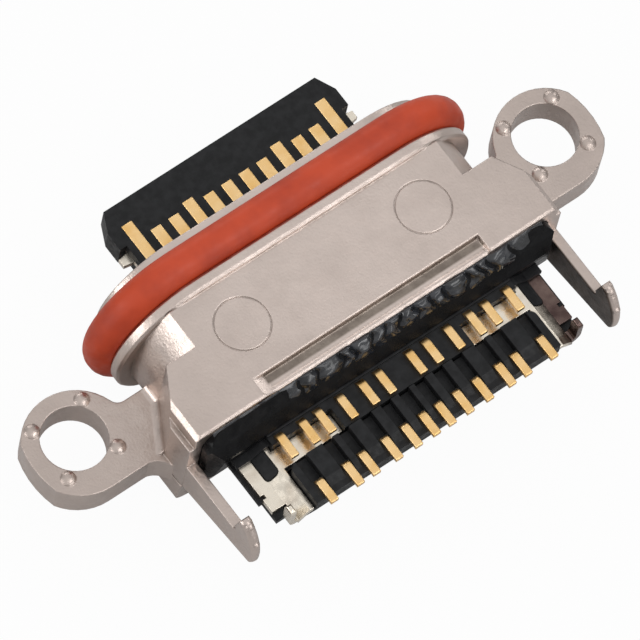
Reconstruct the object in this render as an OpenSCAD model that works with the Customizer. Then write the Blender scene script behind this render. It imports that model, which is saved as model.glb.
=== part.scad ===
// Charging port: a sealed connector with a bare tongue, a cast shell with two
// screw ears, a seal ring round its collar and two rows of solder tails.
// The origin is midway between the two screw holes, on the ears' top face.
// The tongue points along -Y, the solder tails along +Y, and the board lies on +Z.

/* [Ears] */
// Distance between the two screw holes
hole_span = 13.44; // [13.2:0.02:13.8]
// Radius of each screw hole
hole_r = 0.795; // [0.7:0.005:0.85]
// Radius of the round end of each ear
ear_r = 1.3; // [1.25:0.01:1.4]
// How far the round end sits behind its hole
ear_back = 0.13; // [0.06:0.01:0.18]
// Distance of each ear's bowed outer side from its hole
ear_side = 1.2; // [1.14:0.01:1.24]
// Thickness of the ears
ear_t = 0.84; // [0.6:0.02:1]
// Radius of the ears' bowed outer sides
ear_bow = 2.4; // [2:0.05:3]
// Radius of the corner behind each ear's neck
neck_heel = 0.4; // [0.3:0.02:0.5]
// Distance of the neck's front edge ahead of the holes
neck_front = 0.12; // [0.06:0.01:0.2]
// Fillet where the neck meets the round end
neck_fillet = 0.26; // [0.16:0.01:0.3]
// Fillet between the ears' top face and the body's end walls
ear_fillet = 0.18; // [0.08:0.01:0.2]
// How far the necks run into the body
neck_root = 0.6; // [0.4:0.05:0.8]
// Radius of each raised dot around a hole
dot_r = 0.185; // [0.12:0.005:0.2]
// Height of each raised dot
dot_h = 0.09; // [0.06:0.01:0.1]
// Radius of the dots' round tops
dot_curve = 0.26; // [0.25:0.01:0.3]
// How far the dots sit inside the middle of the ear's ring
dot_in = 0.06; // [0.04:0.01:0.08]
// How far the dots sit behind the hole
dot_back = 0.02; // [0:0.01:0.06]

/* [Collar] */
// Height of the connector's axis above the ears' top face
axis_z = 0.09; // [0.05:0.01:0.13]
// Front face of the collar
collar_front = -2.1; // [-2.14:0.01:-2.06]
// Width of the opening that the plug enters
mouth_w = 8.4; // [8.34:0.01:8.5]
// Height of the opening that the plug enters
mouth_h = 2.6; // [2.56:0.01:2.7]
// Wall between the opening and the seal groove, above and below
collar_wall = 0.16; // [0.14:0.01:0.2]
// Wall between the opening and the seal groove, at the two ends
collar_end_wall = 0.25; // [0.2:0.01:0.3]
// Width of the thin front rim
rim_w = 9.16; // [9.1:0.02:9.4]
// Height of the thin front rim
rim_h = 3.7; // [3.5:0.02:3.8]
// Width of the flange behind the seal
flange_w = 10.04; // [9.9:0.02:10.2]
// Height of the flange behind the seal
flange_h = 4.2; // [4.1:0.02:4.3]
// Rear face of the flange
flange_back = -0.67; // [-0.7:0.01:-0.62]
// Thickness of the flange
flange_t = 0.32; // [0.28:0.01:0.36]
// Chamfer on the flange's outer edges
flange_chamfer = 0.06; // [0.03:0.01:0.08]

/* [Seal] */
// Width of the seal along the connector's axis
seal_w = 0.9; // [0.84:0.01:0.94]
// Thickness of the seal, from the groove outward
seal_t = 0.86; // [0.8:0.01:0.9]
// Clearance all round the seal in its groove
seal_gap = 0.01; // [0.005:0.005:0.02]

/* [Body] */
// Width of the rounded front part of the body
body_w = 9.22; // [9.1:0.02:9.3]
// Height of the body
body_h = 3.92; // [3.8:0.02:4]
// Radius of the body's round ends, which the flat top and bottom cut off
body_r = 2.73; // [2.4:0.01:2.9]
// How far the rounded front part runs into the rear block
body_lap = 0.2; // [0.1:0.02:0.3]
// Width of the rear block
block_w = 10.54; // [10.4:0.02:10.7]
// Width of the rear block above its side ledges
block_top_w = 10.26; // [10.1:0.02:10.4]
// Depth of the side ledges below the top face
ledge_drop = 0.5; // [0.4:0.02:0.6]
// Chamfer along the top face's two ends
block_chamfer = 0.12; // [0.06:0.01:0.16]
// Radius of the rear block's two lower corners
block_round = 0.7; // [0.6:0.02:0.9]
// How far the rear edge leans forward below the arms
back_rake = 0.2; // [0.1:0.01:0.24]
// Front face of the rear block
block_front = 0.33; // [0.25:0.01:0.4]
// Wall of the rear block that the opening runs through
front_wall = 0.15; // [0.1:0.01:0.2]
// Where the rear block's slanted ends reach full width
block_full = 1.46; // [1.36:0.01:1.56]
// Rear edge of the shell
shell_back = 2.2; // [2.18:0.01:2.24]
// Thickness of the rear cavity's end walls
end_wall = 0.35; // [0.3:0.01:0.45]
// Thickness of the top and bottom walls of the rear cavity
cavity_wall = 0.22; // [0.18:0.01:0.26]
// Thickness of the cavity's slanted end walls
side_wall = 0.3; // [0.25:0.01:0.35]
// Radius of the cavity's four corners
cavity_round = 0.5; // [0.4:0.01:0.6]
// Length of the shallow slot in the top face
slot_l = 6.4; // [6:0.05:6.8]
// Width of the shallow slot
slot_w = 0.4; // [0.3:0.01:0.44]
// Depth of the shallow slot
slot_d = 0.13; // [0.12:0.01:0.14]
// Width of the low lip behind the shallow slot
slot_lip = 0.1; // [0.08:0.01:0.14]
// Depth of that lip below the top face
lip_drop = 0.1; // [0.08:0.005:0.11]
// Slope of the slot's front wall and right end
slot_draft = 0.06; // [0.04:0.01:0.08]
// Slope of the slot's left end
slot_ramp = 0.32; // [0.2:0.02:0.4]
// Chamfer along the rear edge of the top face and of the lip
back_chamfer = 0.05; // [0.03:0.01:0.06]
// Radius of the two round marks in the top face
mark_r = 0.66; // [0.6:0.01:0.7]
// Distance between the two round marks
mark_span = 5.13; // [5:0.01:5.3]
// Distance of the round marks behind the holes
mark_y = 0.47; // [0.4:0.01:0.6]
// Width of the fine line around each mark
mark_line = 0.03; // [0.02:0.005:0.04]
// Depth of that line
mark_d = 0.02; // [0.01:0.005:0.03]

/* [Arms] */
// Thickness of the arms
arm_t = 0.26; // [0.2:0.01:0.28]
// Top edge of the arms
arm_top = 0.67; // [0.6:0.01:0.75]
// Height of the arms where they leave the shell
arm_root_h = 1.06; // [0.95:0.01:1.15]
// Height of the arms at their hooked ends
arm_end_h = 0.67; // [0.62:0.01:0.72]
// Front edge of the hooks
hook_front = 3.95; // [3.85:0.01:4.05]
// Rear edge of the hooks
hook_back = 4.76; // [4.7:0.01:4.85]
// Rise of the hooks above the arms' top edge
hook_rise = 0.73; // [0.65:0.01:0.8]
// Radius of the hooks' round lower ends
hook_r = 0.3; // [0.24:0.01:0.32]
// Radius of the hooks' tips
tip_r = 0.12; // [0.08:0.01:0.14]
// Distance of the hooks' tips behind their front edge
tip_in = 0.27; // [0.26:0.01:0.3]
// Radius of the hooks' curved rear edge, seen from the side
hook_curve = 1.4; // [1.36:0.01:1.44]
// Radius of that edge across the arm's thickness
nose_r = 0.15; // [0.14:0.01:0.2]
// How far the hooks' side outline reaches past that edge, which trims it
hook_lap = 0.04; // [0.03:0.01:0.06]
// Radius of the small notch at the foot of each hook
hook_notch_r = 0.1; // [0.06:0.01:0.12]
// How much the hooks' tips lose where they are rounded across
tip_trim = 0.02; // [0.01:0.005:0.03]
// How much wider than the arms that rounding is
tip_ease = 0.03; // [0.02:0.005:0.04]
// Radius of the two bumps behind each hook
bump_r = 0.11; // [0.1:0.01:0.12]
// How far the bumps' centres lie inside the hook's rear edge
bump_in = 0.06; // [0.05:0.005:0.07]
// Width of the line below the arms' roots
root_line = 0.08; // [0.06:0.01:0.1]
// Depth of that line
root_line_d = 0.05; // [0.03:0.01:0.06]

/* [Tongue] */
// Width of the tongue
tongue_w = 6.5; // [6.45:0.01:6.6]
// Thickness of the tongue
tongue_t = 0.7; // [0.68:0.01:0.74]
// Tip of the tongue
tongue_tip = -4.01; // [-4.06:0.01:-3.96]
// Width of the chamfer on the tongue's two front corners
tongue_chamfer = 0.24; // [0.2:0.02:0.32]
// Length of that chamfer
tongue_chamfer_l = 0.5; // [0.4:0.02:0.6]
// Depth of the notch in each side of the tongue
notch_d = 0.19; // [0.15:0.01:0.22]
// Length of the notch
notch_l = 1.4; // [1.2:0.05:1.6]
// Distance of the notch behind the tongue's tip
notch_y = 0.98; // [0.9:0.01:1.05]
// How far the plate's latch edges stand out of the tongue's sides
latch_out = 0.08; // [0.04:0.01:0.1]
// Length of the latch edges
latch_l = 0.3; // [0.24:0.01:0.34]
// Slope of the latch edges' two ends
latch_slope = 0.05; // [0.02:0.01:0.08]
// Gap in front of the latch edges
latch_gap = 0.04; // [0.02:0.01:0.06]

/* [Contacts] */
// Spacing of the contacts on the tongue
pitch = 0.5; // [0.49:0.002:0.505]
// Width of each contact on the tongue
contact_w = 0.28; // [0.24:0.01:0.3]
// Thickness of the contact strip
contact_t = 0.12; // [0.1:0.01:0.14]
// How far the contacts stand proud of the tongue
contact_proud = 0.01; // [0:0.005:0.02]
// Distance of the long contacts behind the tip
tip_long = 0.53; // [0.48:0.01:0.58]
// Distance of the middle contacts behind the tip
tip_mid = 0.83; // [0.78:0.01:0.88]
// Distance of the short contacts behind the tip
tip_short = 0.97; // [0.92:0.01:1.02]
// Width of each solder tail
tail_w = 0.2; // [0.16:0.01:0.22]
// Height of the solder tails' top faces
tail_z = 1.2; // [1.16:0.01:1.24]
// Radius of the bend at the start of each tail
bend_r = 0.18; // [0.15:0.01:0.2]
// Where the strips start to fan out, behind the tongue's root
fan_start = 0.4; // [0.3:0.02:0.5]
// Where the strips end their fan, ahead of the shell's rear edge
fan_end = 0.3; // [0.2:0.02:0.4]
// Tail positions of the front row, out from the middle
front_x = [0.435, 0.91, 1.52, 2.145, 2.59, 3.21]; // [0.4:0.005:3.25]
// Start of the front row of tails
front_start = 2.79; // [2.76:0.01:2.84]
// End of the front row of tails
front_end = 3.5; // [3.45:0.01:3.54]
// Tail positions of the rear row, out from the middle
rear_x = [0.225, 0.735, 1.29, 1.93, 2.385, 3.125]; // [0.2:0.005:3.2]
// Start of the rear row of tails
rear_start = 4.2; // [4.15:0.01:4.25]
// End of the rear row of tails
rear_end = 4.88; // [4.82:0.01:4.95]

/* [Mid plate] */
// Thickness of the sheet
plate_t = 0.15; // [0.12:0.01:0.16]
// Distance of the sheet's front edge behind the tongue's tip
plate_in = 0.3; // [0.2:0.02:0.4]
// Length of the wings that run out to the feet
wing_l = 0.25; // [0.2:0.01:0.3]
// Height of the top of the feet's flat inner strips
foot_z = 0.8; // [0.77:0.01:0.83]
// Height of the top of the feet's lower outer part
foot_edge_z = 0.58; // [0.54:0.01:0.62]
// Inner edge of each foot
foot_in = 3.49; // [3.485:0.005:3.52]
// Width of each foot's inner prong
prong_in = 0.12; // [0.11:0.005:0.14]
// Width of each foot's outer prong
prong_out = 0.32; // [0.28:0.01:0.36]
// Width of the flat strip inside each foot's step
flat_w = 0.11; // [0.08:0.01:0.13]
// Width of the slope of that step
step_w = 0.32; // [0.28:0.01:0.36]
// Rear edge of the feet
foot_back = 4.64; // [4.58:0.01:4.7]
// Width of the slot between a foot's two prongs
fork_w = 0.34; // [0.3:0.01:0.36]
// Rear end of that slot
fork_back = 3.52; // [3.47:0.01:3.57]
// Radius of that slot's two rear corners
fork_r = 0.12; // [0.08:0.01:0.14]
// Side of the small nick in each foot's outer edge
nick = 0.1; // [0.06:0.01:0.12]
// Distance of the nick behind the slot
nick_back = 0.16; // [0.12:0.01:0.2]
// How far each foot runs in under the front tails
under_in = 1.65; // [1.5:0.01:1.7]
// Front edge of that run, behind the start of the tails
under_back = 0.2; // [0.15:0.01:0.25]
// Width of the solder leg that curls up at the corner of each foot
leg_w = 0.26; // [0.22:0.01:0.28]
// Front face of the solder legs
leg_y = 4.35; // [4.32:0.01:4.38]
// How far the solder legs lie inside the feet's outer edges
leg_in = 0.12; // [0.08:0.01:0.15]
// Outer radius of the solder legs' curl
leg_r = 0.25; // [0.22:0.01:0.28]
// Height of the solder legs' tops
leg_z = 1.22; // [1.18:0.01:1.26]
// Length of the gap in front of each solder leg
leg_gap = 0.21; // [0.16:0.01:0.26]

/* [Wafers] */
// Width of both wafers
wafer_w = 6.92; // [6.88:0.01:6.96]
// Underside of the lower wafer
wafer_low = -0.42; // [-0.46:0.01:-0.38]
// Rear face of the upper wafer
upper_back = 3.55; // [3.52:0.01:3.58]
// Gap between the upper wafer and the comb behind it
wafer_gap = 0.03; // [0.02:0.01:0.05]
// Rear face of the comb
comb_back = 4.68; // [4.6:0.01:4.72]
// Rear end of the lower wafer's underside
comb_foot = 4.36; // [4.34:0.01:4.4]
// Radius of the comb's two front corners, seen from above
comb_round = 0.2; // [0.12:0.01:0.24]
// Height at which the comb's rear face starts to slope in
comb_slope_z = 0.68; // [0.6:0.01:0.76]
// Height of the comb's ribs above the tails' seat
rib_h = 0.08; // [0.04:0.01:0.12]
// Clearance between the tails and the ribs
rib_gap = 0.05; // [0.03:0.01:0.06]
// How deep the comb's slots for the tails are cut below their seat
comb_slot_d = 0.18; // [0.12:0.01:0.2]
// Length of the ribs' level top behind the start of the tails
rib_level = 0.1; // [0.05:0.01:0.15]
// How far the ribs' slope ends ahead of the comb's rear face
rib_end = 0.12; // [0.08:0.01:0.16]
// How far the blocks under the feet stand out past them
side_lip = 0.08; // [0.06:0.01:0.12]
// How far those blocks step in, behind
side_step = 0.08; // [0.05:0.01:0.1]
// Where that step lies
side_step_y = 3.78; // [3.7:0.01:3.85]
// How far the shoulders over the feet stand out past them
shoulder_lip = 0.06; // [0.03:0.01:0.08]
// Underside of the blocks under the feet
side_low = 0.28; // [0.22:0.01:0.32]
// Rear edge of the shoulders over the feet
shoulder_back = 2.88; // [2.84:0.01:2.92]
// Thickness of the shoulders over the feet
shoulder_t = 0.14; // [0.1:0.01:0.18]
// Clearance around moulded pieces that are pushed together
fit_gap = 0.015; // [0.01:0.005:0.02]
// Height of the lip in front of the front tails
lip_h = 0.07; // [0.04:0.01:0.09]
// Gap between that lip and the tails
lip_gap = 0.02; // [0.01:0.005:0.03]
// Wall left in front of the wafers inside the shell
pocket_wall = 0.25; // [0.2:0.01:0.3]
// How far the plug ends ahead of the shell's rear edge
plug_recess = 0.24; // [0.22:0.01:0.3]

/* [Potting] */
// Where the sealant ends behind the shell
potting_back = 2.72; // [2.7:0.01:2.76]
// Depth of the sealant's top below the shell's top face, at the shell
potting_drop = 0.24; // [0.22:0.01:0.3]
// Length of the sealant's flat top behind the shell
potting_flat = 0.06; // [0.04:0.01:0.1]
// Length of its first, steep slope
potting_slope = 0.24; // [0.2:0.01:0.3]
// Depth of its first slope
potting_fall = 0.3; // [0.25:0.01:0.35]
// How far its ends are cut back behind the shell
potting_corner = 0.3; // [0.2:0.02:0.4]

/* [Hidden] */
$fn = 64;
eps = 0.01;
count = 12;
fillet_ease = 1.3;
bump_at = [21, 45];
hole_x = hole_span / 2;
body_top = axis_z + body_h / 2;
groove_w = mouth_w + 2 * collar_end_wall;
groove_h = mouth_h + 2 * collar_wall;
flange_front = flange_back - flange_t;
groove_front = flange_front - seal_w - 2 * seal_gap;
tongue_root = block_front + front_wall;
tongue_z = axis_z - tongue_t / 2;
neck_back = ear_back + ear_r;
upper_top = axis_z + tongue_t / 2 + contact_proud;
lower_low = axis_z - tongue_t / 2 - contact_proud;
seat_z = tail_z - contact_t;
plate_low = axis_z - plate_t / 2;
plate_top = axis_z + plate_t / 2;
comb_front = upper_back + wafer_gap;
body_low = axis_z - body_h / 2;
arm_low = arm_top - arm_root_h;
plug_back = shell_back - plug_recess;
pocket_front = tongue_root + pocket_wall;
cavity_w = block_w - 2 * end_wall;
cavity_h = body_h - 2 * cavity_wall;
arm_out = block_w / 2 - eps;
arm_in = arm_out - arm_t;
arm_mid = arm_out - arm_t / 2;
hook_axis = [hook_back - hook_curve, arm_top - arm_end_h + hook_r];
wing_y = shell_back;
riser_y = wing_y + wing_l;
foot_front = riser_y + plate_t;
fork_x = foot_in + prong_in;
foot_out = fork_x + fork_w + prong_out;
foot_fold = foot_in + flat_w;
foot_step = foot_fold + step_w;
foot_slope = (foot_z - foot_edge_z) / step_w;
under_x = foot_in - under_in;
under_y = front_start + under_back;
leg_out = foot_out - leg_in;
leg_x = leg_out - leg_r;
side_out = foot_out + side_lip;
shoulder_out = foot_out + shoulder_lip;

steel = [0.74, 0.70, 0.66];
orange = [0.75, 0.28, 0.18];
black = [0.09, 0.09, 0.10];
gold = [0.90, 0.74, 0.45];
beige = [0.80, 0.76, 0.70];
gloss = [0.05, 0.05, 0.06];

// Contact i, counted from -X: where it lies on the tongue
function contact_x(i) = (i - (count + 1) / 2) * pitch;

// Contact i: where its tail lies, from one half-row of positions
function tail_x(i, half) = i > count / 2 ? half[i - count / 2 - 1] : -half[count / 2 - i];

// Contact i: how far its tip lies behind the tongue's tip
function tip_back(i) = i == 1 || i == count ? tip_long : i == 4 || i == count - 3 ? tip_mid : tip_short;

// Height of a foot's top face at a distance from the middle
function foot_top(x) = foot_z - (min(max(x, foot_fold), foot_step) - foot_fold) * foot_slope;

// A shape repeated on both sides
module both() {
    children();
    mirror([1, 0, 0])
        children();
}

// Slot shape with two round ends
module stadium(w, h) {
    square([w - h, h], center = true);
    for (s = [-1, 1])
        translate([s * (w - h) / 2, 0])
            circle(d = h);
}

// A flat shape in X and Z, drawn out along Y about the connector's axis
module along_y(y0, y1) {
    translate([0, y1, axis_z])
        rotate([90, 0, 0])
            linear_extrude(y1 - y0)
                children();
}

// A flat shape in Y and Z, drawn out along X
module along_x(x0, x1) {
    translate([x0, 0, 0])
        rotate([90, 0, 90])
            linear_extrude(x1 - x0)
                children();
}

// A box given by its two opposite corners
module box(a, b) {
    translate(a)
        cube(b - a);
}

// A section swept round a slot shape: its X runs out from the round ends' axes, its Y forward
module swept_round(straight) {
    rotate([90, 0, 0])
        for (turn = [0, 180])
            rotate([0, 0, turn]) {
                translate([straight, 0, 0])
                    rotate([0, 0, -90])
                        rotate_extrude(angle = 180)
                            children();
                translate([-straight, 0, 0])
                    rotate([90, 0, 90])
                        linear_extrude(2 * straight)
                            children();
            }
}

// Section of the flange, from inside the groove's bottom to its chamfered edge
module flange_section() {
    edge = flange_h / 2;
    inner = mouth_h / 2 + collar_wall / 2;
    polygon([
        [inner, 0], [edge - flange_chamfer, 0], [edge, flange_chamfer],
        [edge, flange_t - flange_chamfer], [edge - flange_chamfer, flange_t], [inner, flange_t]
    ]);
}

// Seal collar: front rim, groove bottom, flange and the body's rounded front part
module collar() {
    along_y(collar_front, groove_front)
        stadium(rim_w, rim_h);
    along_y(collar_front, flange_back)
        stadium(groove_w, groove_h);
    along_y(flange_front + flange_t / 4, flange_back - flange_t / 4)
        stadium(flange_w - flange_chamfer, flange_h - flange_chamfer);
    translate([0, flange_back, axis_z])
        swept_round((flange_w - flange_h) / 2)
            flange_section();
    along_y(flange_back - eps, block_front + body_lap)
        intersection() {
            stadium(body_w, 2 * body_r);
            square([body_w, body_h], center = true);
        }
}

// Front view of the rear block: chamfered top, side ledges, round lower corners
module block_face() {
    top = body_h / 2;
    half = block_top_w / 2;
    polygon([
        [-half, 0], [half, 0], [half, top - block_chamfer], [half - block_chamfer, top],
        [block_chamfer - half, top], [-half, top - block_chamfer]
    ]);
    translate([-block_w / 2, block_round - top])
        square([block_w, body_h - block_round - ledge_drop]);
    translate([block_round - block_w / 2, -top])
        square([block_w - 2 * block_round, body_h / 2]);
    for (s = [-1, 1])
        translate([s * (block_w / 2 - block_round), block_round - top])
            circle(r = block_round);
}

// Front view of the rear cavity, with its four round corners
module cavity_face(gap) {
    half = cavity_w / 2 - gap;
    high = cavity_h / 2 - gap;
    r = cavity_round - gap;
    square([2 * half, 2 * (high - r)], center = true);
    square([2 * (half - r), 2 * high], center = true);
    for (s = [-1, 1], t = [-1, 1])
        translate([s * (half - r), t * (high - r)])
            circle(r = r);
}

// A front view drawn out along Y, within the rear block's slanted ends
module within_block(y0, y1, inset) {
    front = body_w / 2 - inset;
    back = block_w / 2 - inset;
    intersection() {
        along_y(y0, y1)
            children();
        translate([0, 0, -body_h])
            linear_extrude(2 * body_h)
                polygon([
                    [-front, collar_front], [front, collar_front], [front, block_front],
                    [back, block_full], [back, shell_back + eps], [-back, shell_back + eps],
                    [-back, block_full], [-front, block_front]
                ]);
    }
}

// Plan of one ear with its neck
module ear_plan() {
    notch_c = [
        hole_x - sqrt(pow(ear_r + neck_fillet, 2) - pow(ear_back + neck_front + neck_fillet, 2)),
        -neck_front - neck_fillet
    ];
    intersection() {
        translate([hole_x, ear_back])
            circle(r = ear_r);
        translate([hole_x + ear_side - ear_bow, ear_back])
            circle(r = ear_bow);
    }
    translate([body_w / 2 - neck_root, -neck_front])
        square([hole_x - body_w / 2 + neck_root, neck_front + neck_back]);
    difference() {
        polygon([
            [notch_c[0], -neck_front], [hole_x, ear_back],
            [hole_x, ear_back] + (notch_c - [hole_x, ear_back]) * ear_r / (ear_r + neck_fillet)
        ]);
        translate(notch_c)
            circle(r = neck_fillet);
    }
}

// Square with one hollow round corner
module hollow_corner(r) {
    back = fillet_ease * r;
    difference() {
        translate([-r, -r])
            square(2 * r);
        translate([back, back])
            circle(r = sqrt(pow(back, 2) + pow(back - r, 2)));
    }
}

// Prism with a hollow round face, that fills the corner along a wall from a to b
module corner_fillet(a, b, r) {
    run = b - a;
    translate([a[0], a[1], 0])
        rotate([90, 0, atan2(run[1], run[0]) - 90])
            translate([0, 0, -norm(run)])
                linear_extrude(norm(run))
                    hollow_corner(r);
}

module ear() {
    dot_ring = (ear_r + hole_r) / 2 - dot_in;
    foot = [body_w / 2, block_front];
    translate([0, 0, -ear_t])
        linear_extrude(ear_t) {
            ear_plan();
            translate([block_w / 2, neck_back])
                hollow_corner(neck_heel);
        }
    for (a = [45:90:315])
        translate([hole_x + dot_ring * cos(a), dot_back + dot_ring * sin(a), 0])
            intersection() {
                translate([0, 0, -eps])
                    cylinder(r = dot_r, h = dot_h + 2 * eps);
                translate([0, 0, dot_h - dot_curve])
                    rotate([90, 0, 0])
                        sphere(r = dot_curve);
            }
    intersection() {
        union() {
            corner_fillet([foot[0], -neck_front], foot + [0, ear_fillet], ear_fillet);
            corner_fillet(foot, [block_w / 2, block_full], ear_fillet);
        }
        translate([0, 0, -ear_t])
            linear_extrude(2 * ear_t)
                ear_plan();
    }
}

// Side view of one arm with its hooked end
module arm_side() {
    low = arm_top - arm_end_h;
    tip = [hook_front + tip_in, arm_top + hook_rise - tip_r];
    heel = [hook_back - hook_r + hook_lap, low + hook_r];
    root = shell_back - side_wall;
    difference() {
        union() {
            polygon([
                [root, arm_top], [hook_front, arm_top], tip - [tip_r, 0], tip, [tip[0], heel[1]], heel,
                [heel[0], low], [shell_back, arm_low], [root, arm_low]
            ]);
            intersection() {
                translate(hook_axis)
                    circle(r = hook_curve + hook_lap);
                polygon([tip, 2 * tip - hook_axis, [hook_back + hook_r, heel[1]], [tip[0], heel[1]]]);
            }
            translate(tip)
                circle(r = tip_r);
            translate(heel)
                circle(r = hook_r);
        }
        translate([hook_front - 2 * eps, arm_top + hook_notch_r])
            circle(r = hook_notch_r);
    }
}

// Disc with a rounded rim, that rounds a hook's rear edge
module hook_disc() {
    translate([hook_curve - nose_r, 0])
        circle(r = nose_r);
    translate([0, -nose_r])
        square([hook_curve - nose_r, 2 * nose_r]);
}

// Front view of a hook's tip, rounded across the arm's thickness
module tip_arch() {
    r = arm_t / 2 + tip_ease;
    top = arm_top + hook_rise - tip_trim;
    translate([arm_mid, top - r])
        circle(r = r);
    translate([arm_mid - arm_t, -body_h])
        square([2 * arm_t, body_h + top - r]);
}

// One arm, with two bumps on its hook's rear edge
module arm() {
    intersection() {
        along_x(arm_in, arm_out)
            arm_side();
        from_floor(0, 2 * hook_back)
            tip_arch();
        union() {
            box([0, 0, -body_h], [block_w, hook_axis[0], body_h]);
            translate([arm_mid, hook_axis[0], hook_axis[1]])
                rotate([0, 90, 0])
                    rotate_extrude()
                        hook_disc();
        }
    }
    for (a = bump_at)
        translate([arm_mid, hook_axis[0], hook_axis[1]])
            rotate([a, 0, 0])
                translate([0, hook_curve - bump_in, 0])
                    sphere(r = bump_r);
}

// Cutter of the shallow slot, from the rear edge of the top face
module rear_slot() {
    front = -slot_lip - slot_w;
    half = slot_l / 2;
    low = -lip_drop - back_chamfer;
    intersection() {
        along_x(-half, half)
            polygon([
                [front, 0], [front + slot_draft, -slot_d], [-slot_lip - slot_draft, -slot_d],
                [-slot_lip, -lip_drop], [-back_chamfer, -lip_drop], [eps, low - eps],
                [eps, slot_d], [front, slot_d]
            ]);
        from_floor(front - eps, 2 * eps)
            polygon([
                [-half, 2 * slot_d], [-half, 0], [2 * slot_draft - half, -2 * slot_d],
                [half - 2 * slot_ramp, -2 * slot_d], [half, 0], [half, 2 * slot_d]
            ]);
    }
}

module shell() {
    color(steel)
        difference() {
            union() {
                collar();
                within_block(block_front, shell_back, 0)
                    block_face();
                both() {
                    ear();
                    arm();
                }
            }
            along_y(collar_front - eps, tongue_root)
                stadium(mouth_w, mouth_h);
            within_block(tongue_root - eps, shell_back + eps, side_wall)
                cavity_face(0);
            both()
                translate([hole_x, 0, -ear_t - eps])
                    cylinder(r = hole_r, h = ear_t + dot_h + 2 * eps);
            translate([0, shell_back, body_top])
                rear_slot();
            along_x(-block_w, block_w)
                polygon([
                    [shell_back - back_chamfer - eps, body_top + eps], [shell_back + eps, body_top + eps],
                    [shell_back + eps, body_top - back_chamfer - eps]
                ]);
            along_x(-block_w, block_w)
                polygon([
                    [shell_back, arm_low], [shell_back - back_rake, body_low - eps],
                    [shell_back + eps, body_low - eps]
                ]);
            both()
                box([block_w / 2 - root_line_d, neck_back + neck_heel, arm_low - root_line],
                    [block_w / 2 + eps, shell_back + eps, arm_low]);
            both()
                translate([mark_span / 2, mark_y, body_top - mark_d])
                    linear_extrude(mark_d + eps)
                        difference() {
                            circle(r = mark_r + mark_line / 2);
                            circle(r = mark_r - mark_line / 2);
                        }
        }
}

// Section of the seal: flat inside, full round outside
module seal_section() {
    r = min(seal_w, seal_t) / 2;
    for (s = [-1, 1])
        translate([seal_t / 2, s * (seal_w / 2 - r)])
            circle(r = r);
    translate([seal_t / 2 - r, r - seal_w / 2])
        square([2 * r, max(seal_w - 2 * r, eps)]);
}

module seal_ring() {
    color(orange)
        translate([0, flange_front - seal_gap - seal_w / 2, axis_z])
            swept_round((groove_w - groove_h) / 2)
                translate([groove_h / 2 + seal_gap, 0])
                    seal_section();
}

// Plan of a contact strip, fanning out from the tongue to its tail
module strip_plan(i, half, end) {
    x0 = contact_x(i);
    x1 = tail_x(i, half);
    fan0 = tongue_root + fan_start;
    fan1 = shell_back - fan_end;
    tip = tongue_tip + tip_back(i);
    polygon([
        [x0 - contact_w / 2, tip], [x0 + contact_w / 2, tip], [x0 + contact_w / 2, fan0],
        [x1 + tail_w / 2, fan1], [x1 + tail_w / 2, end], [x1 - tail_w / 2, end],
        [x1 - tail_w / 2, fan1], [x0 - contact_w / 2, fan0]
    ]);
}

// Side view of a tail: up from the strip, round the bend and back
module tail_side(low, start, end) {
    translate([start, low])
        square([contact_t, tail_z - bend_r - low]);
    translate([start + bend_r, seat_z])
        square([end - start - bend_r, contact_t]);
    translate([start + bend_r, tail_z - bend_r])
        difference() {
            circle(r = bend_r);
            circle(r = bend_r - contact_t);
            translate([0, -2 * bend_r])
                square(4 * bend_r);
            translate([-2 * bend_r, -2 * bend_r])
                square([4 * bend_r, 2 * bend_r]);
        }
}

// One contact strip from the tongue to the end of its tail
module contact(i, half, low, start, end) {
    x = tail_x(i, half);
    translate([0, 0, low])
        linear_extrude(contact_t)
            strip_plan(i, half, start + contact_t);
    along_x(x - tail_w / 2, x + tail_w / 2)
        tail_side(low, start, end);
}

module upper_contact(i) {
    color(gold)
        contact(i, front_x, upper_top - contact_t, front_start, front_end);
}

module lower_contact(i) {
    color(gold)
        contact(i, rear_x, lower_low, rear_start, rear_end);
}

// Plan of the flat middle of the plate: latch edges in front, wings behind
module plate_plan() {
    half = tongue_w / 2 - notch_d;
    out = tongue_w / 2 + latch_out;
    y0 = tongue_tip + notch_y + latch_gap;
    translate([-half, tongue_tip + plate_in])
        square([2 * half, comb_front - fit_gap - tongue_tip - plate_in]);
    both()
        polygon([
            [half - eps, y0], [out, y0 + latch_slope],
            [out, y0 + latch_l - latch_slope], [half - eps, y0 + latch_l]
        ]);
    translate([-foot_out, wing_y])
        square([2 * foot_out, foot_front - wing_y]);
}

// Plan of the slot in a foot, with two round corners, less a gap all round
module round_slot(gap) {
    w = fork_w - 2 * gap;
    r = fork_r - gap;
    back = fork_back - gap;
    translate([fork_x + gap, foot_front])
        square([w, back - r - foot_front]);
    translate([fork_x + gap + r, foot_front])
        square([w - 2 * r, back - foot_front]);
    for (x = [r, w - r])
        translate([fork_x + gap + x, back - r])
            circle(r = r);
}

// Plan of one forked foot, with the part that runs in under the front tails
module foot_plan() {
    difference() {
        union() {
            translate([foot_in, riser_y])
                square([foot_out - foot_in, foot_back - riser_y]);
            translate([under_x, under_y])
                square([under_in + eps, front_end - under_y]);
        }
        round_slot(0);
        translate([leg_x, leg_y - leg_gap])
            square([foot_out, foot_back]);
        translate([foot_out - nick, fork_back + nick_back])
            square([foot_out, nick]);
    }
}

// Front view of a layer that follows a foot's step, from a to b, between two heights over its top face
module foot_layer(a, b, low, high) {
    xs = concat([a], [for (x = [foot_fold, foot_step]) if (x > a && x < b) x], [b]);
    top = [for (x = xs) [x, foot_top(x) + high]];
    bottom = [for (i = [len(xs) - 1:-1:0]) [xs[i], foot_top(xs[i]) + low]];
    polygon(concat(top, bottom));
}

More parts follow.
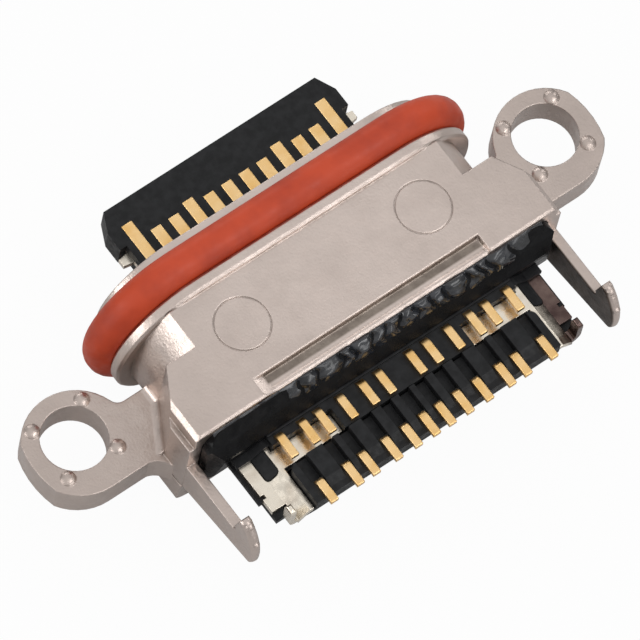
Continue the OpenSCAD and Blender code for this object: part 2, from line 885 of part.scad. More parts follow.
// A front view drawn out along Y, at its own height
module from_floor(y0, y1) {
    translate([0, 0, -axis_z])
        along_y(y0, y1)
            children();
}

// Front view of a solder leg: a strip that curls up from the corner of the foot
module leg_strip() {
    low = foot_top(leg_x) - plate_t;
    translate([leg_x, low + leg_r])
        intersection() {
            difference() {
                circle(r = leg_r);
                circle(r = leg_r - plate_t);
            }
            translate([0, -leg_r])
                square(leg_r);
        }
    translate([leg_x - plate_t, low])
        square([plate_t + eps, plate_t]);
    translate([leg_out - plate_t, low + leg_r - eps])
        square([plate_t, leg_z - plate_t / 2 - low - leg_r + eps]);
    translate([leg_out - plate_t / 2, leg_z - plate_t / 2])
        circle(d = plate_t);
}

// Solder leg with a round top, seen from the side too
module leg() {
    intersection() {
        from_floor(leg_y - eps, leg_y + leg_w + eps)
            leg_strip();
        along_x(0, foot_out) {
            translate([leg_y, 0])
                square([leg_w, leg_z + eps - leg_w / 2]);
            translate([leg_y + leg_w / 2, leg_z + eps - leg_w / 2])
                circle(d = leg_w);
        }
    }
}

module mid_plate() {
    color(beige) {
        translate([0, 0, plate_low])
            linear_extrude(plate_t)
                plate_plan();
        both() {
            intersection() {
                from_floor(riser_y, foot_back)
                    foot_layer(under_x, foot_out, -plate_t, 0);
                linear_extrude(2 * foot_z)
                    foot_plan();
            }
            intersection() {
                from_floor(riser_y, foot_front)
                    foot_layer(foot_in, foot_out, -foot_z, 0);
                box([foot_in, riser_y, plate_low], [foot_out, foot_front, foot_z]);
            }
            leg();
        }
    }
}

// Plan of the tongue with chamfered front corners and latch notches
module tongue_plan() {
    half = tongue_w / 2;
    difference() {
        polygon([
            [tongue_chamfer - half, tongue_tip], [half - tongue_chamfer, tongue_tip],
            [half, tongue_tip + tongue_chamfer_l], [half, tongue_root + front_wall],
            [-half, tongue_root + front_wall], [-half, tongue_tip + tongue_chamfer_l]
        ]);
        both()
            translate([half - notch_d, tongue_tip + notch_y])
                square([2 * notch_d, notch_l]);
    }
}

module all_contacts() {
    for (i = [1:count]) {
        upper_contact(i);
        lower_contact(i);
    }
}

module tongue_housing() {
    color(black)
        difference() {
            union() {
                translate([0, 0, tongue_z])
                    linear_extrude(tongue_t)
                        tongue_plan();
                within_block(tongue_root + fit_gap, plug_back, side_wall + fit_gap)
                    cavity_face(fit_gap);
            }
            box([-wafer_w / 2 - fit_gap, pocket_front, wafer_low - fit_gap],
                [wafer_w / 2 + fit_gap, shell_back, seat_z + fit_gap]);
            all_contacts();
            translate([0, 0, plate_low])
                linear_extrude(plate_t)
                    plate_plan();
        }
}

// Shoulder of the upper wafer over one foot, and the round-ended tab that fills the foot's slot
module shoulder() {
    half = wafer_w / 2;
    tab0 = fork_x + fit_gap;
    tab1 = fork_x + fork_w - fit_gap;
    intersection() {
        from_floor(wing_y, riser_y - fit_gap)
            foot_layer(half - eps, shoulder_out, -foot_z, shoulder_t);
        box([0, wing_y, plate_top + fit_gap], [shoulder_out, riser_y, foot_z + shoulder_t]);
    }
    from_floor(riser_y - 4 * fit_gap, shoulder_back)
        foot_layer(half - eps, shoulder_out, fit_gap, shoulder_t);
    intersection() {
        from_floor(foot_front + fit_gap, fork_back)
            foot_layer(tab0, tab1, fit_gap - plate_t, fit_gap + eps);
        linear_extrude(2 * foot_z)
            round_slot(fit_gap);
    }
}

// Upper wafer before the strips are taken out of it
module upper_body() {
    half = wafer_w / 2;
    difference() {
        union() {
            box([-half, pocket_front + fit_gap, plate_top], [half, upper_back, seat_z]);
            box([-half, shell_back, seat_z - eps], [half, front_start - lip_gap, seat_z + lip_h]);
        }
        both()
            box([under_x - fit_gap, under_y - fit_gap, foot_z - plate_t - fit_gap],
                [foot_out, comb_front, tail_z]);
    }
    both()
        shoulder();
}

module upper_wafer() {
    color(black)
        difference() {
            upper_body();
            for (i = [1:count])
                upper_contact(i);
        }
}

// Plan of the comb, with two round front corners
module comb_plan() {
    half = wafer_w / 2;
    translate([-half, comb_front + comb_round])
        square([wafer_w, comb_back - comb_front]);
    translate([comb_round - half, comb_front])
        square([wafer_w - 2 * comb_round, comb_back - comb_front]);
    for (s = [-1, 1])
        translate([s * (half - comb_round), comb_front + comb_round])
            circle(r = comb_round);
}

// Lower wafer before the strips are taken out of it
module lower_body() {
    half = wafer_w / 2;
    box([-half, pocket_front + fit_gap, wafer_low], [half, comb_front + comb_round, plate_low]);
    intersection() {
        along_x(-wafer_w, wafer_w)
            polygon([
                [comb_front - eps, wafer_low], [comb_front - eps, seat_z], [comb_back, seat_z],
                [comb_back, comb_slope_z], [comb_foot, wafer_low]
            ]);
        translate([0, 0, wafer_low - eps])
            linear_extrude(seat_z - wafer_low + 2 * eps)
                comb_plan();
    }
    both() {
        from_floor(foot_front + fit_gap, side_step_y)
            under_foot(half + fit_gap, side_out);
        difference() {
            from_floor(side_step_y - eps, leg_y + plate_t)
                under_foot(half - eps, side_out - side_step);
            box([leg_x - plate_t - fit_gap, leg_y - fit_gap, side_low - eps],
                [side_out, foot_back, foot_z]);
        }
    }
}

// Front view of the block that a foot lies on, from one side to the other
module under_foot(a, b) {
    difference() {
        foot_layer(a, b, -foot_z, -plate_t);
        translate([0, -foot_z])
            square([2 * b, foot_z + side_low]);
    }
}

// Ribs on the comb between the rear tails
module comb_ribs() {
    for (i = [1:count - 1]) {
        x0 = tail_x(i, rear_x) + tail_w / 2 + rib_gap;
        x1 = tail_x(i + 1, rear_x) - tail_w / 2 - rib_gap;
        along_x(x0, x1)
            polygon([
                [comb_front, seat_z - eps], [comb_front, seat_z + rib_h],
                [rear_start + rib_level, seat_z + rib_h], [comb_back - rib_end, seat_z - eps]
            ]);
    }
}

module lower_wafer() {
    color(black)
        difference() {
            union() {
                lower_body();
                comb_ribs();
            }
            for (i = [1:count]) {
                x = tail_x(i, rear_x);
                lower_contact(i);
                box([x - tail_w / 2 - rib_gap, comb_front - eps, seat_z - comb_slot_d],
                    [x + tail_w / 2 + rib_gap, rear_start, tail_z]);
            }
        }
}

// Side view of the sealant: it slopes from the shell's edge down to the wafers
module potting_side() {
    top = body_top - potting_drop;
    low = axis_z - cavity_h / 2;
    flat = shell_back + potting_flat;
    polygon([
        [plug_back, low], [plug_back, top], [flat, top], [flat + potting_slope, top - potting_fall],
        [potting_back, tail_z], [potting_back, seat_z], [potting_back - contact_t, side_low],
        [flat, wafer_low], [shell_back - back_rake, low]
    ]);
}

module potting() {
    half = cavity_w / 2 - fit_gap;
    bend = shell_back + potting_slope;
    color(gloss)
        difference() {
            intersection() {
                along_x(-half, half)
                    potting_side();
                along_y(plug_back, potting_back + eps)
                    cavity_face(fit_gap);
                translate([0, 0, -body_h])
                    linear_extrude(2 * body_h)
                        polygon([
                            [-half, 0], [half, 0], [half, bend],
                            [half - potting_corner, potting_back + eps],
                            [potting_corner - half, potting_back + eps], [-half, bend]
                        ]);
            }
            upper_body();
            lower_body();
            mid_plate();
        }
}

shell();
seal_ring();
tongue_housing();
upper_wafer();
lower_wafer();
mid_plate();
potting();
for (i = [1:count]) {
    upper_contact(i);
    lower_contact(i);
}
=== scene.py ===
"""Charging port: the looks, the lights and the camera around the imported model."""
from bisect import bisect
from math import exp, pi

import bmesh
import bpy
from mathutils import Matrix, Vector, noise


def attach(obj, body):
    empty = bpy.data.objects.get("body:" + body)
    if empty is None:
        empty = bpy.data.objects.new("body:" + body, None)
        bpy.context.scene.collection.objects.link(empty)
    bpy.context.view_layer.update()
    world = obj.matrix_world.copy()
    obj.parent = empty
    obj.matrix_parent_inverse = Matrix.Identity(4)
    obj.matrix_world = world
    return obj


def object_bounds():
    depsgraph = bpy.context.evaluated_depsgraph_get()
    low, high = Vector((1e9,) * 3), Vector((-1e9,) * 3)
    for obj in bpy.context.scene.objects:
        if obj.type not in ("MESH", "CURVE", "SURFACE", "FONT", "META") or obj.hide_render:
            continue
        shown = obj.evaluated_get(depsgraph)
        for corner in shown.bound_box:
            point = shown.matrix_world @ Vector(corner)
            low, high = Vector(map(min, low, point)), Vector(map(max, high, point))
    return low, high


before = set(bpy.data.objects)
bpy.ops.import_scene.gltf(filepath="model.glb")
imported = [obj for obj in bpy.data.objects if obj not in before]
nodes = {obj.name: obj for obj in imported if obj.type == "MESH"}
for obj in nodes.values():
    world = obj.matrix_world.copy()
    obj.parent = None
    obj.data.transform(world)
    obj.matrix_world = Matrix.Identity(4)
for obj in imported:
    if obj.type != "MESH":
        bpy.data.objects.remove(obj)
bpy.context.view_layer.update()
MM = 0.001

# Slope that the sealant lumps sit on, as (y, z) in millimetres: top, lower end, way out of it
SLOPE_TOP = Vector((2.21, 1.88))
SLOPE_END = Vector((2.57, 1.43))
SLOPE_OUT = Vector((0.77, 0.64))

# Mesh of the lumps: steps along X and rows down the slope
LUMP_STEPS = 640
LUMP_ROWS = 24

# Sizes of the lumps, in millimetres, and their crown and reach as shares of the slope
LUMP_END = 0.25
LUMP_PITCH = 0.5
LUMP_SPREAD = 0.7
LUMP_SLANT = 0.22
LUMP_RISE = 0.18
LUMP_SINK = 0.035
LUMP_CROWN = 0.34
LUMP_REACH = 0.6
LUMP_RIPPLE = 0.03
LUMP_ROOT = 0.15

# How much the lumps' heights and crowns vary, and how their skin falls away from its crown
HEIGHT_MEAN = 0.75
HEIGHT_VARY = 0.6
CROWN_VARY = 0.25
SIDE_POWER = 3
CROWN_POWER = 2.5

# Where the lumps' noise is read: its rate along X, or along X and down the slope, and its seed
WIDTH_RATE, WIDTH_SEED = 7.3, (1.7, 0.4)
SLANT_RATE, SLANT_SEED = (1.3, 2), 3.1
HEIGHT_RATE, HEIGHT_SEED = 3.1, (4.2, 0.9)
CROWN_RATE, CROWN_SEED = 2.3, (8.8, 5.1)
RIPPLE_RATE, RIPPLE_SEED = (5, 3), 0.7

# Places along X past which the lumps calm down, over what width, to what share of their height
CALM_LEFT = 2.3
CALM_RIGHT = -3.75
CALM_WIDTH = 0.2
CALM_HEIGHT = 0.12

# Where the plate's right foot is painted dark as shade, along X in millimetres
FOOT_SHADE_FROM = -3.72
FOOT_SHADE_TO = -3.92

# Painted shade: the casting is painted darker towards its ends, where that starts and ends along X
SHADE_ENDS_FROM = 2.0
SHADE_ENDS_TO = 7.0

# Where shade is painted along the front of the shell's rear slot, in millimetres
SLOT_SHADE_LEFT = 2.95
SLOT_SHADE_RIGHT = -3.22
SLOT_SHADE_FRONT = 1.69
SLOT_SHADE_REAR = 1.98
SLOT_SHADE_TOP = 2.04
SLOT_SHADE_FLOOR = 1.87
SLOT_SHADE_FADE = 0.05

# Where shade is painted on the inner side of the right arm, in millimetres
ARM_SHADE_OUTER = -5.05
ARM_SHADE_INNER = -5.015
ARM_SHADE_END = -4.8
ARM_SHADE_FRONT = 2.2
ARM_SHADE_FADE = 0.3

# Camera, solved from the photograph: place, view axes, focal length
CAMERA_PLACE = Vector((82.131, 69.553, 237.534)) * MM
CAMERA_RIGHT = Vector((-0.7975, 0.5946, 0.1024))
CAMERA_DOWN = Vector((0.5152, 0.7594, -0.3972))
CAMERA_FORWARD = Vector((-0.314, -0.264, -0.912))
PHOTO_SIDE = 640
FOCAL_PIXELS = 11450
SENSOR_WIDTH = 36
CLIP_START = 0.01
CLIP_END = 10

# World: a tent's shades at its foot and roof, as light and as seen in metal, and its darker right.
# The spreads are parts of a direction's Z and X.
TENT_SPREAD = (0.1, 0.85)
TENT_LIGHT = (0.2, 1.22)
TENT_SEEN = (0.34, 0.87)
RIGHT_SPREAD = (-0.85, -0.35)
RIGHT_SHADE = 0.6

# Floor: half its side in metres, and how white the camera and the gloss see it
FLOOR_HALF = 0.4
FLOOR_SEEN = 0.96
FLOOR_MIRRORED = 0.05
FLOOR_ROUGHNESS = 0.9

# Soft lamps: name, place, width and height in millimetres, brightness
SOFTBOXES = (
    ("left_box", (120, -35, 32), 90, 45, 3.6),
    ("rear_box", (-30, 70, 115), 110, 40, 3.2),
    ("right_box", (-112, -34, 57), 50, 30, 2.6),
    ("front_box", (-40, -113, 41), 90, 25, 2.6),
    ("back_box", (-39, 114, 33), 90, 25, 2.6),
)
SOFTBOX_TARGET = (0, 1, 0)

# Rays that the materials spend on rounded edges and on corners
BEVEL_SAMPLES = 6
CORNER_SAMPLES = 8

# Painted shade in corners: how far corners reach, in millimetres, and how closed and how open they
# are for it
CORNER_REACH = 0.25
CORNER_STOPS = (0.35, 0.8)

# Colours, as linear light
NICKEL = (0.65, 0.555, 0.505, 1)
NICKEL_DULL = (0.56, 0.475, 0.43, 1)
# Painted shade for the casting's ends
NICKEL_SHADED_END = (0.50, 0.425, 0.385, 1)
# Painted shade for corners and for the front wall of the rear slot
SHADE_BROWN = (0.20, 0.165, 0.14, 1)
# Painted shade for the rear slot's front wall
SHADE_BROWN_PALE = (0.28, 0.235, 0.20, 1)
# Painted shade for the inner side of the right arm
ARM_SHADE = (0.045, 0.036, 0.030, 1)
ARM_SHADE_PALE = (0.11, 0.086, 0.072, 1)
RUBBER = (0.577, 0.064, 0.019, 1)
RUBBER_DARK = (0.40, 0.039, 0.0135, 1)
RESIN = (0.010, 0.0103, 0.0112, 1)
RESIN_PALE = (0.018, 0.0185, 0.020, 1)
GOLD = (0.95, 0.655, 0.32, 1)
GOLD_DEEP = (0.87, 0.54, 0.20, 1)
PLATE = (0.84, 0.77, 0.66, 1)
PLATE_BROWN = (0.68, 0.60, 0.50, 1)
# Painted shade for the plate's right foot
FOOT_SHADE = (0.17, 0.12, 0.105, 1)
FOOT_SHADE_DARK = (0.075, 0.048, 0.045, 1)
SEALANT = (0.003, 0.003, 0.0034, 1)
SEALANT_GREY = (0.007, 0.007, 0.0078, 1)
# The lumps' colours, painted lighter and bluer than the potting's as painted sheen
SEALANT_SKIN = (0.008, 0.009, 0.011, 1)
SEALANT_SHEEN_BLUE = (0.022, 0.0245, 0.031, 1)
PAPER = (0.66, 0.66, 0.66, 1)
WHITE = (1, 1, 1, 1)


# Node helpers
class Shader:
    """A material's node tree, with its Principled BSDF and a coordinate in millimetres."""

    def __init__(self, name):
        self.material = bpy.data.materials.new(name)
        self.material.use_nodes = True
        self.tree = self.material.node_tree
        self.surface = self.tree.nodes["Principled BSDF"]
        place = self.tree.nodes.new("ShaderNodeTexCoord")
        scale = self.tree.nodes.new("ShaderNodeVectorMath")
        scale.operation = "SCALE"
        scale.inputs["Scale"].default_value = 1 / MM
        self.join(place.outputs["Object"], scale.inputs[0])
        self.place = scale.outputs[0]

    def join(self, out, socket):
        self.tree.links.new(out, socket)

    def set(self, **values):
        for name, value in values.items():
            self.surface.inputs[name.replace("_", " ")].default_value = value

    def noise(self, per_mm, detail=2.0, rough=0.5, stretch=(1, 1, 1)):
        """Noise with this many features in a millimetre."""
        node = self.tree.nodes.new("ShaderNodeTexNoise")
        node.inputs["Scale"].default_value = per_mm
        node.inputs["Detail"].default_value = detail
        node.inputs["Roughness"].default_value = rough
        squash = self.tree.nodes.new("ShaderNodeVectorMath")
        squash.operation = "MULTIPLY"
        squash.inputs[1].default_value = stretch
        self.join(self.place, squash.inputs[0])
        self.join(squash.outputs[0], node.inputs["Vector"])
        return node.outputs["Fac"]

    def ramp(self, value, low, high, stops=(0.35, 0.65)):
        """A colour or grey between two values of a texture."""
        node = self.tree.nodes.new("ShaderNodeValToRGB")
        for element, at, colour in zip(node.color_ramp.elements, stops, (low, high)):
            element.position = at
            grey = (colour, colour, colour, 1)
            element.color = colour if isinstance(colour, tuple) else grey
        self.join(value, node.inputs["Fac"])
        return node.outputs["Color"]

    def along(self, axis, start, end, mirrored=False):
        """A share that grows from 0 to 1 between two places on an axis, in millimetres."""
        split = self.tree.nodes.new("ShaderNodeSeparateXYZ")
        self.join(self.place, split.inputs[0])
        value = split.outputs[axis]
        if mirrored:
            size = self.tree.nodes.new("ShaderNodeMath")
            size.operation = "ABSOLUTE"
            self.join(value, size.inputs[0])
            value = size.outputs[0]
        node = self.tree.nodes.new("ShaderNodeMapRange")
        node.inputs["From Min"].default_value = start
        node.inputs["From Max"].default_value = end
        self.join(value, node.inputs["Value"])
        return node.outputs[0]

    def all_of(self, *shares):
        """The product of some shares."""
        total = shares[0]
        for share in shares[1:]:
            node = self.tree.nodes.new("ShaderNodeMath")
            node.operation = "MULTIPLY"
            self.join(total, node.inputs[0])
            self.join(share, node.inputs[1])
            total = node.outputs[0]
        return total

    def blend(self, share, low, high):
        """A colour between two, by a share."""
        node = self.tree.nodes.new("ShaderNodeMixRGB")
        for socket, out in zip(("Fac", "Color1", "Color2"), (share, low, high)):
            self.join(out, node.inputs[socket])
        return node.outputs[0]

    def corners(self, reach):
        """A share that is 1 in the open and falls in corners, looked for within a reach in mm."""
        node = self.tree.nodes.new("ShaderNodeAmbientOcclusion")
        node.samples = CORNER_SAMPLES
        node.only_local = True
        node.inputs["Distance"].default_value = reach * MM
        return node.outputs["AO"]

    def colour(self, out):
        self.join(out, self.surface.inputs["Base Color"])

    def roughness(self, texture, low, high):
        self.join(self.ramp(texture, low, high), self.surface.inputs["Roughness"])

    def bump(self, *layers, edge=0.0):
        """Bumps stacked from (texture, height in mm), over edges rounded by a radius in mm."""
        normal = None
        if edge:
            bevel = self.tree.nodes.new("ShaderNodeBevel")
            bevel.samples = BEVEL_SAMPLES
            bevel.inputs["Radius"].default_value = edge * MM
            normal = bevel.outputs["Normal"]
        for texture, height in layers:
            node = self.tree.nodes.new("ShaderNodeBump")
            node.inputs["Distance"].default_value = height * MM
            self.join(texture, node.inputs["Height"])
            if normal:
                self.join(normal, node.inputs["Normal"])
            normal = node.outputs["Normal"]
        self.join(normal, self.surface.inputs["Normal"])


# Materials: noise by features in a millimetre, bumps and edges in millimetres
def cast_nickel():
    s = Shader("cast_nickel")
    s.set(Metallic=1.0)
    bright = s.ramp(s.noise(0.9, detail=4, rough=0.6), NICKEL_DULL, NICKEL, stops=(0.2, 0.55))
    # Painted shade: the casting darkens from its middle towards both ends along X
    shaded_ends = s.ramp(s.noise(1.4, detail=4, rough=0.6), NICKEL_SHADED_END, NICKEL_DULL, stops=(0.4, 0.9))
    metal = s.blend(s.along("X", SHADE_ENDS_FROM, SHADE_ENDS_TO, mirrored=True), bright, shaded_ends)
    # Painted shade: a dark colour for the corners
    corner_shade = s.ramp(s.noise(1.6, detail=3), SHADE_BROWN, NICKEL_DULL, stops=(0.36, 0.62))
    # Painted shade: the front wall of the rear slot is darkened
    slot_shade = s.all_of(
        s.along("X", SLOT_SHADE_LEFT, SLOT_SHADE_LEFT - SLOT_SHADE_FADE),
        s.along("X", SLOT_SHADE_RIGHT - SLOT_SHADE_FADE, SLOT_SHADE_RIGHT),
        s.along("Y", SLOT_SHADE_FRONT - SLOT_SHADE_FADE, SLOT_SHADE_FRONT),
        s.along("Y", SLOT_SHADE_REAR, SLOT_SHADE_REAR - SLOT_SHADE_FADE),
        s.along("Z", SLOT_SHADE_TOP, SLOT_SHADE_TOP - SLOT_SHADE_FADE),
        s.along("Z", SLOT_SHADE_FLOOR - SLOT_SHADE_FADE, SLOT_SHADE_FLOOR),
    )
    # Painted shade: the inner side of the right arm is darkened
    arm_shade = s.all_of(
        s.along("X", ARM_SHADE_OUTER, ARM_SHADE_INNER),
        s.along("X", ARM_SHADE_END, ARM_SHADE_INNER),
        s.along("Y", ARM_SHADE_FRONT, ARM_SHADE_FRONT + ARM_SHADE_FADE),
    )
    metal = s.blend(slot_shade, metal, s.ramp(s.noise(4.0, detail=3), SHADE_BROWN, SHADE_BROWN_PALE))
    metal = s.blend(arm_shade, metal, s.ramp(s.noise(2.4, detail=3), ARM_SHADE, ARM_SHADE_PALE))
    # Painted shade: the colour darkens in corners, as ambient occlusion finds them
    open_share = s.ramp(s.corners(CORNER_REACH), 0.0, 1.0, CORNER_STOPS)
    s.colour(s.blend(open_share, corner_shade, metal))
    s.roughness(s.noise(3.0, detail=3), 0.28, 0.42)
    waves = (s.noise(1.6, detail=3), 0.006)
    dents = (s.noise(7, detail=3), 0.006)
    grain = (s.noise(16, detail=4), 0.008)
    s.bump(waves, dents, grain, edge=0.05)
    return s.material


def seal_rubber():
    s = Shader("seal_rubber")
    s.set(Specular_IOR_Level=0.3)
    s.colour(s.ramp(s.noise(1.1, detail=3), RUBBER_DARK, RUBBER, stops=(0.2, 0.55)))
    s.roughness(s.noise(4.0, detail=2), 0.42, 0.56)
    s.bump((s.noise(9, detail=3), 0.003))
    return s.material


def moulding():
    s = Shader("moulding")
    s.set(Specular_IOR_Level=0.2)
    s.colour(s.ramp(s.noise(5.0, detail=3), RESIN, RESIN_PALE))
    s.roughness(s.noise(8.0, detail=2), 0.40, 0.58)
    s.bump((s.noise(22, detail=2), 0.0015), edge=0.02)
    return s.material


def contact_gold():
    s = Shader("contact_gold")
    s.set(Metallic=1.0)
    s.colour(s.ramp(s.noise(2.2, detail=3), GOLD_DEEP, GOLD, stops=(0.3, 0.6)))
    s.roughness(s.noise(6.0, detail=2), 0.24, 0.40)
    s.bump((s.noise(12, detail=2, stretch=(1, 0.25, 1)), 0.0012), edge=0.05)
    return s.material


def plate_metal():
    s = Shader("plate_metal")
    s.set(Metallic=1.0)
    plain = s.ramp(s.noise(1.8, detail=3), PLATE_BROWN, PLATE, stops=(0.25, 0.5))
    # Painted shade: the plate's right foot is darkened
    foot_shade = s.ramp(s.noise(2.4, detail=3), FOOT_SHADE_DARK, FOOT_SHADE)
    s.colour(s.blend(s.along("X", FOOT_SHADE_FROM, FOOT_SHADE_TO), plain, foot_shade))
    s.roughness(s.noise(5.0, detail=2), 0.18, 0.34)
    s.bump((s.noise(3, detail=2), 0.008), (s.noise(18, detail=2), 0.001), edge=0.025)
    return s.material


def sealant():
    s = Shader("sealant")
    s.set(Specular_IOR_Level=0.12)
    s.colour(s.ramp(s.noise(2.5, detail=3), SEALANT, SEALANT_GREY))
    s.roughness(s.noise(3.0, detail=2), 0.18, 0.34)
    s.bump((s.noise(3, detail=2), 0.008), (s.noise(9, detail=2), 0.002))
    return s.material


def glossy_sealant():
    s = Shader("glossy_sealant")
    s.set(Specular_IOR_Level=0.8)
    # Painted sheen: the lumps are coloured lighter and bluer than the potting's sealant
    s.colour(s.ramp(s.noise(2.5, detail=3), SEALANT_SKIN, SEALANT_SHEEN_BLUE))
    s.roughness(s.noise(3.0, detail=2), 0.14, 0.28)
    s.bump((s.noise(7, detail=2), 0.003))
    return s.material


def dress():
    """Each CAD node takes its material: contacts are gold, and what isn't listed is resin."""
    looks = {
        "shell": cast_nickel(),
        "seal_ring": seal_rubber(),
        "mid_plate": plate_metal(),
        "potting": sealant(),
    }
    resin = moulding()
    gold = contact_gold()
    for name, piece in nodes.items():
        look = looks.get(name) or (gold if "_contact_" in name else resin)
        piece.data.materials.clear()
        piece.data.materials.append(look)


# Sealant that set in lumps behind the shell's rear edge
def lump_edges(half):
    """Uneven places along X where one lump ends and the next begins."""
    edges = [-half - LUMP_PITCH]
    while edges[-1] < half + LUMP_PITCH:
        stretch = 1 + LUMP_SPREAD * noise.noise((WIDTH_RATE * edges[-1], *WIDTH_SEED))
        edges.append(edges[-1] + LUMP_PITCH * stretch)
    return edges


def fade_out(past):
    """A share that falls from 1 to 0 around a place, by the distance past it."""
    return 1 / (1 + exp(past / CALM_WIDTH))


def lump_height(x, t, edges):
    """Height of the skin over the sealant's slope, at a share t of the way down it."""
    slant = noise.noise((SLANT_RATE[0] * x, SLANT_RATE[1] * t, SLANT_SEED))
    along = x + LUMP_SLANT * slant
    k = max(bisect(edges, along) - 1, 0)
    mid = (edges[k] + edges[k + 1]) / 2
    across = abs(along - mid) / (edges[k + 1] - edges[k]) * 2
    share = HEIGHT_MEAN + HEIGHT_VARY * noise.noise((HEIGHT_RATE * mid, *HEIGHT_SEED))
    crown = LUMP_CROWN + CROWN_VARY * noise.noise((CROWN_RATE * mid, *CROWN_SEED))
    fall = (abs(t - crown) / LUMP_REACH) ** CROWN_POWER
    dome = (1 - across ** SIDE_POWER) * max(1 - fall, 0)
    lively = fade_out(x - CALM_LEFT) * fade_out(CALM_RIGHT - x)
    ripple = LUMP_RIPPLE * noise.noise((RIPPLE_RATE[0] * x, RIPPLE_RATE[1] * t, RIPPLE_SEED))
    swell = CALM_HEIGHT + (1 - CALM_HEIGHT) * lively
    return swell * (LUMP_RISE * share + ripple) * dome - LUMP_SINK


def sealant_lumps():
    """One closed strip along the top of the sealant's slope, whose skin swells into lumps."""
    half = max(v.co.x for v in nodes["potting"].data.vertices) / MM - LUMP_END
    edges = lump_edges(half)
    shape = bmesh.new()
    rings = []
    for i in range(LUMP_STEPS + 1):
        x = half * (2 * i / LUMP_STEPS - 1)
        ring = []
        for k in range(LUMP_ROWS + 1):
            t = k / LUMP_ROWS
            skin = SLOPE_TOP.lerp(SLOPE_END, t) + SLOPE_OUT * lump_height(x, t, edges)
            ring.append(shape.verts.new(Vector((x, skin.x, skin.y)) * MM))
        for edge in (SLOPE_END, SLOPE_TOP):
            back = edge - SLOPE_OUT * LUMP_ROOT
            ring.append(shape.verts.new(Vector((x, back.x, back.y)) * MM))
        rings.append(ring)
    count = len(rings[0])
    for a, b in zip(rings, rings[1:]):
        for k in range(count):
            shape.faces.new((a[k], a[(k + 1) % count], b[(k + 1) % count], b[k]))
    shape.faces.new(rings[0])
    shape.faces.new(reversed(rings[-1]))
    bmesh.ops.recalc_face_normals(shape, faces=shape.faces)
    mesh = bpy.data.meshes.new("sealant_lumps")
    shape.to_mesh(mesh)
    shape.free()
    mesh.shade_smooth()
    mesh.materials.append(glossy_sealant())
    piece = bpy.data.objects.new("sealant_lumps", mesh)
    bpy.context.collection.objects.link(piece)
    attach(piece, "root")


# Floor, world, lights and camera
def ray_share(tree, **shares):
    """The largest share given to the kind of ray that arrives, such as Camera=1."""
    path = tree.nodes.new("ShaderNodeLightPath")
    total = None
    for kind, share in shares.items():
        part = tree.nodes.new("ShaderNodeMath")
        part.operation = "MULTIPLY"
        part.inputs[1].default_value = share
        tree.links.new(path.outputs[f"Is {kind} Ray"], part.inputs[0])
        if total is None:
            total = part.outputs[0]
            continue
        most = tree.nodes.new("ShaderNodeMath")
        most.operation = "MAXIMUM"
        tree.links.new(total, most.inputs[0])
        tree.links.new(part.outputs[0], most.inputs[1])
        total = most.outputs[0]
    return total


def graded(tree, value, spread, shades):
    """A grey that runs from one shade to another while a value runs through a spread."""
    node = tree.nodes.new("ShaderNodeMapRange")
    names = ("From Min", "From Max", "To Min", "To Max")
    for name, number in zip(names, (*spread, *shades)):
        node.inputs[name].default_value = number
    tree.links.new(value, node.inputs["Value"])
    return node.outputs[0]


def white_world():
    """A white tent, lit from above."""
    world = bpy.data.worlds.new("studio")
    world.use_nodes = True
    bpy.context.scene.world = world
    tree = world.node_tree
    place = tree.nodes.new("ShaderNodeTexCoord")
    axes = tree.nodes.new("ShaderNodeSeparateXYZ")
    tree.links.new(place.outputs["Generated"], axes.inputs[0])
    height = axes.outputs["Z"]
    wall = tree.nodes.new("ShaderNodeMath")
    wall.operation = "MULTIPLY"
    right = graded(tree, axes.outputs["X"], RIGHT_SPREAD, (RIGHT_SHADE, 1))
    tree.links.new(graded(tree, height, TENT_SPREAD, TENT_SEEN), wall.inputs[0])
    tree.links.new(right, wall.inputs[1])
    shades = []
    for strength in (graded(tree, height, TENT_SPREAD, TENT_LIGHT), wall.outputs[0], None):
        shade = tree.nodes.new("ShaderNodeBackground")
        shade.inputs["Color"].default_value = WHITE
        if strength:
            tree.links.new(strength, shade.inputs["Strength"])
        shades.append(shade.outputs[0])
    mirrored = tree.nodes.new("ShaderNodeMixShader")
    tree.links.new(ray_share(tree, Glossy=1, Transmission=1), mirrored.inputs[0])
    tree.links.new(shades[0], mirrored.inputs[1])
    tree.links.new(shades[1], mirrored.inputs[2])
    seen = tree.nodes.new("ShaderNodeMixShader")
    tree.links.new(ray_share(tree, Camera=1), seen.inputs[0])
    tree.links.new(mirrored.outputs[0], seen.inputs[1])
    tree.links.new(shades[2], seen.inputs[2])
    tree.links.new(seen.outputs[0], tree.nodes["World Output"].inputs["Surface"])


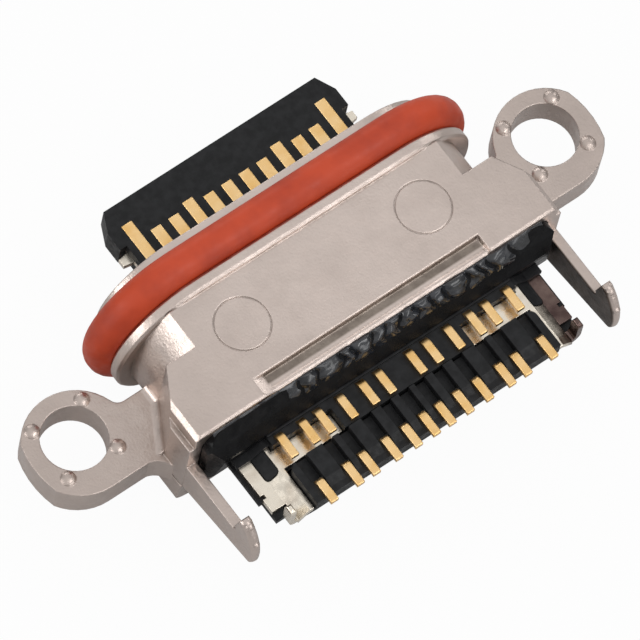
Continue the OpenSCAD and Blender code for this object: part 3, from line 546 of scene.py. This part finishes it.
def white_floor():
    """A pale floor that the camera sees nearly white, with a soft shadow."""
    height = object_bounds()[0].z
    mesh = bpy.data.meshes.new("floor")
    signs = ((-1, -1), (1, -1), (1, 1), (-1, 1))
    corners = [(x * FLOOR_HALF, y * FLOOR_HALF, height) for x, y in signs]
    mesh.from_pydata(corners, [], [(0, 1, 2, 3)])
    floor = bpy.data.objects.new("floor", mesh)
    bpy.context.collection.objects.link(floor)
    material = bpy.data.materials.new("floor_white")
    material.use_nodes = True
    tree = material.node_tree
    paper = tree.nodes["Principled BSDF"]
    paper.inputs["Base Color"].default_value = PAPER
    paper.inputs["Roughness"].default_value = FLOOR_ROUGHNESS
    paper.inputs["Specular IOR Level"].default_value = 0
    glow = tree.nodes.new("ShaderNodeEmission")
    glow.inputs["Color"].default_value = WHITE
    mix = tree.nodes.new("ShaderNodeMixShader")
    share = ray_share(tree, Camera=FLOOR_SEEN, Glossy=FLOOR_MIRRORED, Transmission=FLOOR_MIRRORED)
    tree.links.new(share, mix.inputs[0])
    tree.links.new(paper.outputs[0], mix.inputs[1])
    tree.links.new(glow.outputs[0], mix.inputs[2])
    tree.links.new(mix.outputs[0], tree.nodes["Material Output"].inputs["Surface"])
    mesh.materials.append(material)


def softbox(name, place, width, height, brightness):
    """A soft lamp that looks at a point on the part and shows in its gloss alone."""
    data = bpy.data.lights.new(name, "AREA")
    data.shape = "RECTANGLE"
    data.size = width * MM
    data.size_y = height * MM
    data.energy = brightness * pi * data.size * data.size_y
    light = bpy.data.objects.new(name, data)
    bpy.context.collection.objects.link(light)
    light.location = Vector(place) * MM
    aim = Vector(SOFTBOX_TARGET) * MM - light.location
    light.rotation_euler = aim.to_track_quat("-Z", "Y").to_euler()
    light.visible_diffuse = False


def photo_camera():
    data = bpy.data.cameras.new("photo_camera")
    data.sensor_width = SENSOR_WIDTH
    data.lens = FOCAL_PIXELS / PHOTO_SIDE * SENSOR_WIDTH
    data.clip_start = CLIP_START
    data.clip_end = CLIP_END
    camera = bpy.data.objects.new("photo_camera", data)
    bpy.context.collection.objects.link(camera)
    axes = Matrix((CAMERA_RIGHT, -CAMERA_DOWN, -CAMERA_FORWARD)).transposed()
    camera.matrix_world = Matrix.Translation(CAMERA_PLACE) @ axes.to_4x4()
    bpy.context.scene.camera = camera


dress()
sealant_lumps()
photo_camera()
white_world()
white_floor()
for box in SOFTBOXES:
    softbox(*box)
bpy.context.scene.view_settings.view_transform = "Standard"
